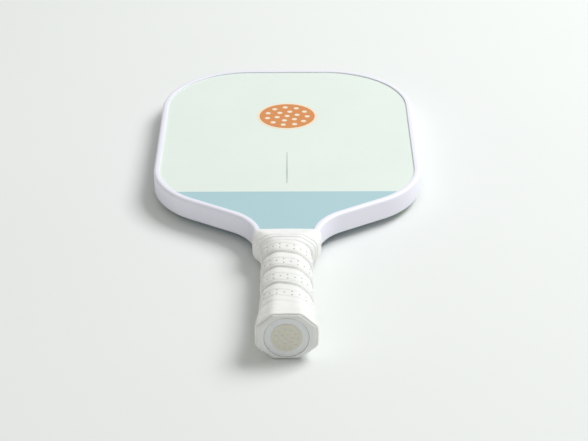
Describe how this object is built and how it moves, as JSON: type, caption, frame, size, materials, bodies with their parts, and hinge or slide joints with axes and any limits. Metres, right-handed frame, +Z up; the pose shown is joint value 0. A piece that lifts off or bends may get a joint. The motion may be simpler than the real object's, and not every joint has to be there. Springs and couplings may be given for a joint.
{
  "type": "pickleball paddle",
  "caption": "Pickleball paddle with a flat honeycomb sandwich blade, a moulded edge guard and a cushioned octagonal handle with a flared butt.",
  "frame": {"origin": "on the table surface under the middle of the paddle's length, as it lies at rest with its front face up", "axes": "+Y from the butt towards the tip, +X to the right seen from above with the tip away, +Z up"},
  "size_m": [0.2, 0.4034, 0.0344],
  "materials": {
    "core_plastic": "natural polypropylene",
    "fleece": "bonded nonwoven",
    "fibreglass": "woven glass in clear resin",
    "field_ink": "fine-grained satin print",
    "panel_ink": "fine-grained satin print",
    "back_field_ink": "fine-grained satin print",
    "roundel_cream": "satin ink",
    "roundel_orange": "satin ink",
    "stripe_ink": "satin ink",
    "guard_plastic": "satin moulded plastic",
    "pallet_wood": "planed",
    "cap_rubber": "fine moulded grain",
    "badge_plastic": "satin",
    "badge_ink": "satin ink",
    "grip_cushion": "matt cushioned wrap with punched holes",
    "collar_tape": "matt stretch tape"
  },
  "bodies": {
    "root": {"honeycomb_core": "core_plastic", "front_fleece": "fleece", "back_fleece": "fleece", "front_skin": "fibreglass", "back_skin": "fibreglass", "front_field_print": "field_ink", "front_panel_print": "panel_ink", "back_field_print": "back_field_ink", "back_panel_print": "panel_ink", "roundel_ground": "roundel_cream", "roundel_ball": "roundel_orange", "pinstripe": "stripe_ink", "edge_guard": "guard_plastic", "front_pallet": "pallet_wood", "back_pallet": "pallet_wood", "butt_cap": "cap_rubber", "badge_disc": "badge_plastic", "badge_print": "badge_ink", "grip_tape": "grip_cushion", "collar_band": "collar_tape"}
  },
  "joints": []
}
